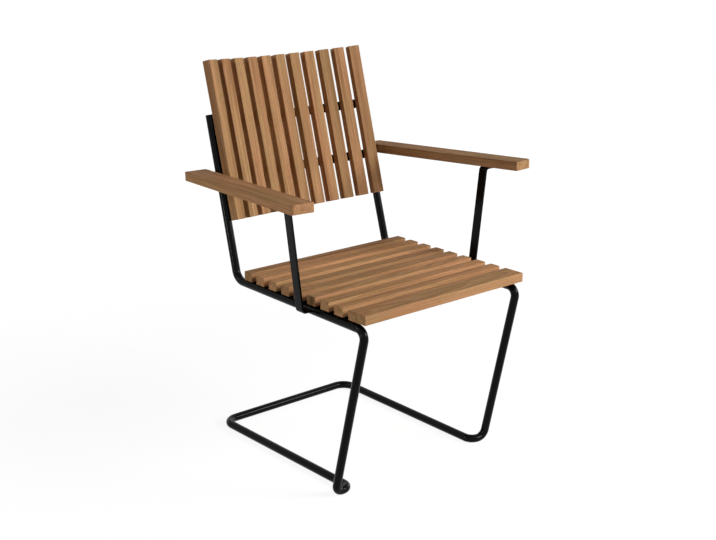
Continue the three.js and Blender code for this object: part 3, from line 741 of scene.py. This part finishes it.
# %% [markdown]
# ## Crossbars and arm supports
# These are flat bars, bent cold and then coated with the tube. The two crossbars follow the
# arc of the back just behind the slats. Each support runs out from the rail, turns up beside
# the seat and ends in a tab under the armrest. Both use the bent bar tree with a flat section.

# %% Crossbars
BAR_HEIGHT, BAR_OVERHANG, BAR_STEPS = 0.022, 0.0085, 48
BAR_EDGE, BAR_BEVEL = 0.0008, 0.0004
BAR_LEVELS = {"back_crossbar_lower": 0.2407, "back_crossbar_upper": 0.3692}
bar_arc = BACK_ARC_RADIUS + GAP + BAR_THICKNESS / 2
bar_half_turn = math.asin((UPRIGHT_TOP_HALF + BAR_OVERHANG) / BAR_BACK_RADIUS)

for name, level in BAR_LEVELS.items():
    turns = [bar_half_turn * (2 * step / BAR_STEPS - 1) for step in range(BAR_STEPS + 1)]
    arc = [(bar_arc * math.sin(turn), bar_arc * math.cos(turn) - ARC_CENTRE, level)
           for turn in turns]
    mesh = run_tree(bar_tree, path_mesh(arc), Depth=BAR_THICKNESS, Breadth=BAR_HEIGHT,
                    Corner_Radius=BAR_EDGE, Corner_Steps=2, Bend_Steps=1, Closed_Ends=True,
                    Finish=black_coat)
    mesh.transform(back_frame)
    crossbar = dress(name, "coated", outward(mesh), "black_steel", BAR_BEVEL)
    print(name, rounded(crossbar.dimensions))

# %% Arm supports
SUPPORT_WIDTH, SUPPORT_THICKNESS, SUPPORT_Y, SUPPORT_BEND = 0.023, 0.005, -0.2404, 0.008
SUPPORT_REACH, SUPPORT_SPLAY, TAB_LENGTH = 0.0329, 0.1274, 0.038
SUPPORT_FOOT_RISE = 0.0019
foot_height = rail_height(SUPPORT_Y) + SUPPORT_FOOT_RISE
tab_front = ARM_REAR_Y - SUPPORT_Y - SUPPORT_WIDTH / 2
tab_top = ARM_REAR_TOP + tab_front * math.tan(ARM_RISE) - ARM_THICKNESS / math.cos(ARM_RISE) - GAP
riser_foot = rail_half(SUPPORT_Y) + SUPPORT_REACH
riser_top = riser_foot + (tab_top - SUPPORT_THICKNESS / 2 - foot_height) * SUPPORT_SPLAY

for side in (-1, 1):
    corners = [(rail_half(SUPPORT_Y) + TUBE_RADIUS + GAP, foot_height), (riser_foot, foot_height),
               (riser_top, tab_top - SUPPORT_THICKNESS / 2),
               (riser_top + TAB_LENGTH, tab_top - SUPPORT_THICKNESS / 2)]
    route = path_mesh([chair_point(side * x, SUPPORT_Y, z) for x, z in corners],
                      [0.0, SUPPORT_BEND, SUPPORT_BEND, 0.0])
    mesh = run_tree(bar_tree, route, Depth=SUPPORT_WIDTH, Breadth=SUPPORT_THICKNESS,
                    Corner_Radius=BAR_EDGE, Corner_Steps=2, Bend_Steps=10, Closed_Ends=True,
                    Finish=black_coat)
    name = f"arm_support_{side_word(side)}"
    support = dress(name, "coated", outward(mesh), "black_steel", BAR_BEVEL)
    print(name, rounded(support.dimensions))

# %% [markdown]
# ## Seat strips and upright plugs
# The rails slope under a level seat, so the battens rest on a flat strip that stands on edge
# along the inside of each rail, welded to it with its top edge level. A plastic plug closes
# the open top of each upright: a thin flange with a rounded rim, and a stem that grips the
# bore. Both are lofts, one over a rounded rectangle and one over circles.

# %% Seat strips
STRIP_THICKNESS, STRIP_HEIGHT, STRIP_END_SETBACK = 0.003, 0.018, 0.040
STRIP_ROUNDING, STRIP_EASE = 0.0006, 0.0005
seat_front_y = -SEAT_SLATS * SEAT_PITCH - FRONT_BOARD
strip_length = -seat_front_y - STRIP_END_SETBACK
strip_half = rail_half(-strip_length / 2) - TUBE_RADIUS - GAP - STRIP_THICKNESS / 2
taper = math.atan((SEAT_REAR_HALF - SEAT_FRONT_HALF) / (REAR_CORNER_Y - FRONT_CORNER_Y))
for side in (-1, 1):
    mesh = board(STRIP_THICKNESS, STRIP_HEIGHT, strip_length, [STRIP_ROUNDING] * 4, STRIP_EASE)
    mesh.materials.append(black_coat)
    spot = chair_point(side * strip_half, -strip_length / 2, seat_bottom - GAP - STRIP_HEIGHT / 2)
    along_rail = Matrix.Rotation(-side * taper, 4, "Z") @ Matrix.Rotation(math.pi / 2, 4, "X")
    mesh.transform(Matrix.Translation(spot) @ along_rail)
    dress(f"seat_strip_{side_word(side)}", "coated", mesh, "black_steel")
print("strips are", round(strip_length * 1000), "mm long")


# %% Upright plugs
def turned_solid(profile, sides=40):
    """A closed solid from rings, each with a radius and a height."""
    angles = [2 * math.pi * i / sides for i in range(sides)]
    return loft([[(r * math.cos(a), r * math.sin(a), h) for a in angles] for r, h in profile])


RIM, RIM_STEPS = 0.001, 4
STEM_LENGTH, STEM_PLAY, STEM_CHAMFER = 0.012, 0.0004, 0.0008
CROWN_RADIUS, CROWN_MIDDLE, CROWN_RISE = 0.0055, 0.0012, 0.0001
stem = TUBE_RADIUS - TUBE_WALL - STEM_PLAY
flange_top = GAP + 2 * RIM
plug = [(stem - STEM_CHAMFER, -STEM_LENGTH), (stem, STEM_CHAMFER - STEM_LENGTH), (stem, GAP),
        (TUBE_RADIUS, GAP)]
for step in range(RIM_STEPS + 1):
    angle = math.pi / 2 * step / RIM_STEPS
    plug.append((TUBE_RADIUS - RIM + RIM * math.cos(angle), GAP + RIM + RIM * math.sin(angle)))
plug += [(CROWN_RADIUS, flange_top), (CROWN_MIDDLE, flange_top + CROWN_RISE)]

for side in (-1, 1):
    mesh = turned_solid(plug)
    mesh.materials.append(black_plastic)
    top = upright_point(side, UPRIGHT_LENGTH)
    axis = (top - upright_point(side, 0)).normalized()
    mesh.transform(Matrix.Translation(top) @ axis.to_track_quat("Z", "Y").to_matrix().to_4x4())
    dress(f"upright_cap_{side_word(side)}", "moulded", mesh, "black_plastic")
print("plugs stand", round(plug[-1][1] * 1000, 1), "mm proud of the tube")

# %% [markdown]
# ## The arm brackets
# Behind each armrest a small plate is welded to the upright by a short stub, and screwed to
# the board's inner edge. The plate has rounded corners, as a piece that hands can reach has.

# %% Arm brackets
PLATE_LENGTH, PLATE_HEIGHT, PLATE_THICKNESS, PLATE_SETBACK = 0.036, 0.017, 0.004, 0.011
PLATE_CORNER, PLATE_EASE = 0.003, 0.0006
STUB_WIDTH, STUB_HEIGHT, STUB_CORNER, STUB_EASE = 0.012, 0.014, 0.0012, 0.0004
PLATE_SCREW_SETBACKS = (0.001, 0.012)
bracket_screws = []


def make_bracket(side):
    middle = ARM_REAR_TOP - ARM_THICKNESS / 2
    axis = upright_point(side, (middle - RAIL_HEIGHT) / math.cos(BACK_ANGLE))
    out = Vector((side * math.cos(ARM_SPLAY), math.sin(ARM_SPLAY), 0))
    forward = Vector((side * math.sin(ARM_SPLAY), -math.cos(ARM_SPLAY), 0))
    ahead = ARM_REAR_Y + rear_edge - axis.y
    edge = Vector((side * (ARM_INNER_HALF + ahead * math.tan(ARM_SPLAY)), axis.y,
                   middle + ahead * math.tan(ARM_RISE)))
    seat = edge - out * (GAP + PLATE_THICKNESS) - forward * PLATE_SETBACK
    plate = board(PLATE_LENGTH, PLATE_HEIGHT, PLATE_THICKNESS, [PLATE_CORNER] * 4, PLATE_EASE)
    turn = Matrix((forward, Vector((0, 0, 1)), out)).transposed().to_4x4()
    plate.transform(Matrix.Translation(seat + out * PLATE_THICKNESS / 2) @ turn)
    start = abs(axis.x) + TUBE_RADIUS + GAP
    end = abs(seat.x) + PLATE_SETBACK * math.sin(ARM_SPLAY) + PLATE_THICKNESS / 2
    stub = board(STUB_WIDTH, STUB_HEIGHT, end - start, [STUB_CORNER] * 4, STUB_EASE)
    across = Matrix(((0, 0, 1), (1, 0, 0), (0, 1, 0))).to_4x4()
    stub.transform(Matrix.Translation((side * (start + end) / 2, axis.y, seat.z)) @ across)
    work = bmesh.new()
    work.from_mesh(plate)
    work.from_mesh(stub)
    work.to_mesh(plate)
    work.free()
    plate = outward(plate)
    plate.materials.append(black_coat)
    bracket_screws.extend((seat - forward * back, out) for back in PLATE_SCREW_SETBACKS)
    bracket = dress(f"arm_bracket_{side_word(side)}", "coated", plate, "black_steel")
    print(bracket.name, rounded(bracket.dimensions))


make_bracket(-1)
make_bracket(1)

# %% [markdown]
# ## Screws
# Pan-head screws with a six-lobed socket hold the wood: up through the tube of the rails
# into the seat, from behind through the crossbars into the back, and through the brackets
# and tabs into the armrests. One screw is turned on a small lathe of rings whose socket is
# a wavy ring, and a tree sets a copy on each point of a cloud, along the drive direction
# that the point carries.

# %% Screw shape
HEAD_RADIUS, HEAD_HEIGHT, SHANK_RADIUS, SHANK_LENGTH = 0.0045, 0.0024, 0.0022, 0.0008
SCREW_SIDES, SOCKET_LOBES = 24, 6

# The dome's rings sit at these angles above the head's rim, which is a straight band.
DOME_ANGLES, RIM_SHARE = (1.15, 0.85, 0.45, 0.0), 0.35

# Radius, height and depth of the lobes for the socket's floor, its lip and the crown round it.
SOCKET = [(0.0013, -0.0009, 0.0002), (0.0014, -HEAD_HEIGHT * 0.99, 0.0003),
          (0.0017, -HEAD_HEIGHT, 0.0001)]


def make_screw():
    angles = [2 * math.pi * i / SCREW_SIDES for i in range(SCREW_SIDES)]

    def ring(radius, height, lobes=0.0):
        reaches = [radius + lobes * math.cos(SOCKET_LOBES * a) for a in angles]
        return [(r * math.cos(a), r * math.sin(a), height) for r, a in zip(reaches, angles)]

    rings = [ring(*level) for level in SOCKET]
    for a in DOME_ANGLES:
        height = -HEAD_HEIGHT * (RIM_SHARE + (1 - RIM_SHARE) * math.sin(a))
        rings.append(ring(HEAD_RADIUS * math.cos(a), height))
    rings += [ring(HEAD_RADIUS, 0.0), ring(SHANK_RADIUS, 0.0), ring(SHANK_RADIUS, SHANK_LENGTH)]
    return loft(rings)


# %% Screw tree
def make_screw_tree(shape):
    tree, given, result = new_tree("screws_on_points", Screw_Scale=float, Twist_Seed=int,
                                   Finish=bpy.types.Material)
    drive = add_node(tree, "GeometryNodeInputNamedAttribute", {"Name": "drive"},
                     data_type="FLOAT_VECTOR").outputs["Attribute"]
    spin = add_node(tree, "FunctionNodeRandomValue", {2: 0.0, 3: 6.28, "Seed": given["Twist Seed"]},
                    data_type="FLOAT").outputs[1]
    twist = add_node(tree, "ShaderNodeCombineXYZ", {"Z": spin}).outputs[0]
    twist = add_node(tree, "FunctionNodeEulerToRotation", {0: twist}).outputs[0]
    aim = add_node(tree, "FunctionNodeAlignRotationToVector", {"Vector": drive}, axis="Z")
    aim = add_node(tree, "FunctionNodeRotateRotation", {0: aim.outputs[0], 1: twist},
                   rotation_space="LOCAL").outputs[0]
    source = add_node(tree, "GeometryNodeObjectInfo", {"Object": shape}).outputs["Geometry"]
    points = add_node(tree, "GeometryNodeMeshToPoints", {0: given["Geometry"]}).outputs[0]
    copies = add_node(tree, "GeometryNodeInstanceOnPoints", {
        "Points": points, "Instance": source, "Rotation": aim,
        "Scale": given["Screw Scale"]}).outputs[0]
    end_tree(tree, copies, given["Finish"], result)
    return tree


def screw_cloud(seats, screw, seed):
    """Sets a copy of a screw at each seat. A seat is a point and a drive direction."""
    shape = bpy.data.objects.new("screw_shape", screw)
    tree = make_screw_tree(shape)
    cloud = bpy.data.meshes.new("screw_points")
    cloud.from_pydata([tuple(spot) for spot, _ in seats], [], [])
    drives = cloud.attributes.new("drive", "FLOAT_VECTOR", "POINT")
    drives.data.foreach_set("vector", [value for _, way in seats for value in way])
    mesh = run_tree(tree, cloud, Screw_Scale=1.0, Twist_Seed=seed, Finish=stainless)
    bpy.data.objects.remove(shape)
    return mesh


# %% [markdown]
# The seats of the screws follow from the pieces that they hold. Each batten of the seat has
# one screw at each rail, driven up from under the tube and sunk into it, so that only the
# crown of its head stands out. Each back slat has one at each crossbar, driven forward along
# the slat's own direction on the arc.

# %% Place the screws
SEAT_SCREW_SINK, FRONT_SCREW_SETBACK = 0.0018, 0.041
TAB_SCREW_INSETS = (0.014, 0.029)
depths = [-(i * SEAT_PITCH + SLAT_WIDTH / 2) for i in range(SEAT_SLATS)]
depths.append(seat_front_y + FRONT_SCREW_SETBACK)
seat_seats = []
for side in (-1, 1):
    for y in depths:
        under = chair_point(side * rail_half(y), y, rail_height(y) - TUBE_RADIUS + SEAT_SCREW_SINK)
        seat_seats.append((under, Vector((0, 0, 1))))

back_seats = []
for level in BAR_LEVELS.values():
    for i in range(BACK_SLATS):
        turn = (i - (BACK_SLATS - 1) / 2) * back_turn
        way = Vector((-math.sin(turn), -math.cos(turn), 0))
        rear = Vector((0, -ARC_CENTRE, level)) - way * BAR_BACK_RADIUS
        back_seats.append((back_frame @ rear, back_frame.to_3x3() @ way))

arm_seats = {}
for side in (-1, 1):
    for number, inset in enumerate(TAB_SCREW_INSETS, 1):
        spot = chair_point(side * (riser_top + inset), SUPPORT_Y, tab_top - SUPPORT_THICKNESS)
        arm_seats[f"arm_front_screw_{side_word(side)}_{number}"] = (spot, Vector((0, 0, 1)))
for (spot, way), name in zip(bracket_screws, ("left_1", "left_2", "right_1", "right_2")):
    arm_seats["arm_rear_screw_" + name] = (spot, way)

screw = make_screw()
for name, seats in (("seat_screws", seat_seats), ("back_screws", back_seats)):
    fit_piece(name, screw_cloud(seats, screw, 7), "screw_steel", sharp=35)
fit_piece("arm_screws", screw_cloud(list(arm_seats.values()), screw, 9), "screw_steel",
          *arm_seats, sharp=35)
print("screws:", len(seat_seats), "in the seat,", len(back_seats), "in the back,", len(arm_seats),
      "in the armrests")

# %% [markdown]
# ## Floor, light and camera
# The floor is plain and pale. Seen by the camera, or mirrored in something glossy, it adds a
# little light of its own so that it reads as white, and it still takes the chair's soft
# shadow. The sky behind it is white in the same way, and lights the chair hardly at all.
# Large soft lamps do the rest: a strong one in front and to the right with a weaker one
# beside it, a low one at the right, and two at the left for the outer sides of the boards.

# %% Floor and sky
FLOOR_PALE = 0.80
FLOOR_SHOWN = 0.22
GLOW_NEAR, GLOW_FAR, GLOW_START, GLOW_END = 0.90, 1.0, 0.6, 2.6
FLOOR_REACH = 30.0
SKY_STRENGTH = 0.02


def seen_directly(tree):
    """1 for rays from the camera, and for those that come by way of gloss or glass."""
    path = add_node(tree, "ShaderNodeLightPath").outputs
    seen = reckon(tree, "MAXIMUM", path["Is Camera Ray"], path["Is Glossy Ray"])
    return reckon(tree, "MAXIMUM", seen, path["Is Transmission Ray"])


floor_finish, tree, surface = new_finish("pale_floor")
seen = seen_directly(tree)
place = add_node(tree, "ShaderNodeTexCoord").outputs["Object"]
distance = add_node(tree, "ShaderNodeVectorMath", {0: place}, operation="LENGTH").outputs["Value"]
grey = spread(tree, seen, 0.0, 1.0, FLOOR_PALE, FLOOR_SHOWN)
pale = add_node(tree, "ShaderNodeCombineColor", {0: grey, 1: grey, 2: grey}).outputs[0]
tree.links.new(pale, surface.inputs["Base Color"])
surface.inputs["Roughness"].default_value = 0.9
surface.inputs["Specular IOR Level"].default_value = 0.0
brightness = spread(tree, distance, GLOW_START, GLOW_END, GLOW_NEAR, GLOW_FAR)
glow = add_node(tree, "ShaderNodeEmission", {
    "Strength": reckon(tree, "MULTIPLY", seen, brightness)})
both = add_node(tree, "ShaderNodeAddShader", {0: surface.outputs[0], 1: glow.outputs[0]})
tree.links.new(both.outputs[0], tree.nodes["Material Output"].inputs["Surface"])

floor_mesh = bpy.data.meshes.new("floor")
corners = [(x * FLOOR_REACH, y * FLOOR_REACH, 0) for x, y in ((-1, -1), (1, -1), (1, 1), (-1, 1))]
floor_mesh.from_pydata(corners, [], [(0, 1, 2, 3)])
floor_mesh.materials.append(floor_finish)
floor = bpy.data.objects.new("floor", floor_mesh)
bpy.context.scene.collection.objects.link(floor)

sky = bpy.data.worlds.new("studio")
bpy.context.scene.world = sky
sky.use_nodes = True
back_light = sky.node_tree.nodes["Background"]
back_light.inputs["Color"].default_value = (1, 1, 1, 1)
strength = spread(sky.node_tree, seen_directly(sky.node_tree), 0.0, 1.0, SKY_STRENGTH, 1.0)
sky.node_tree.links.new(strength, back_light.inputs["Strength"])
print("floor is", 2 * FLOOR_REACH, "m wide")

# %% Lamps
LAMP_DISTANCE = 4.0

# Bearing from the chair's front and height above its middle in degrees, width in metres, watts.
LAMPS = {
    "key": (35, 24, 1.6, 98),
    "front": (15, 24, 1.6, 34),
    "right": (90, 2, 1.6, 34),
    "rear_left": (-115, 24, 1.6, 27),
    "low_left": (-92, 0, 0.4, 12),
}
target = Vector((0, 0, 0.5))
for name, (bearing, rise, size, power) in LAMPS.items():
    turn, climb = math.radians(bearing), math.radians(rise)
    ray = Vector((math.sin(turn) * math.cos(climb), -math.cos(turn) * math.cos(climb),
                  math.sin(climb)))
    light = bpy.data.lights.new(name, "AREA")
    light.shape, light.size, light.energy = "DISK", size, power
    lamp = bpy.data.objects.new(name, light)
    lamp.location = target + ray * LAMP_DISTANCE
    lamp.rotation_euler = ray.to_track_quat("Z", "Y").to_euler()
    bpy.context.scene.collection.objects.link(lamp)
print("lamps:", ", ".join(LAMPS))

# %% [markdown]
# The camera stands where the photograph was taken from. Its place, turn and lens were
# solved from the photograph together with the chair's sizes.

# %% Camera
PICTURE_WIDTH, FOCAL_PIXELS, SENSOR = 716, 1244.07, 36.0
CAMERA_SPOT, CAMERA_DIP, CAMERA_TURN = (-1.8284, -2.2680, 1.2863), 16.794, -40.456
lens = bpy.data.cameras.new("camera")
lens.sensor_width = SENSOR
lens.lens = FOCAL_PIXELS / PICTURE_WIDTH * SENSOR
lens.clip_start, lens.clip_end = 0.1, 200.0
camera = bpy.data.objects.new("camera", lens)
camera.location = chair_point(*CAMERA_SPOT)
camera.rotation_euler = (math.radians(90 - CAMERA_DIP), 0, math.radians(CAMERA_TURN))
bpy.context.scene.collection.objects.link(camera)
bpy.context.scene.camera = camera
bpy.context.scene.view_settings.view_transform = "Standard"
print("camera at", rounded(camera.location, 3), "lens", round(lens.lens, 2), "mm")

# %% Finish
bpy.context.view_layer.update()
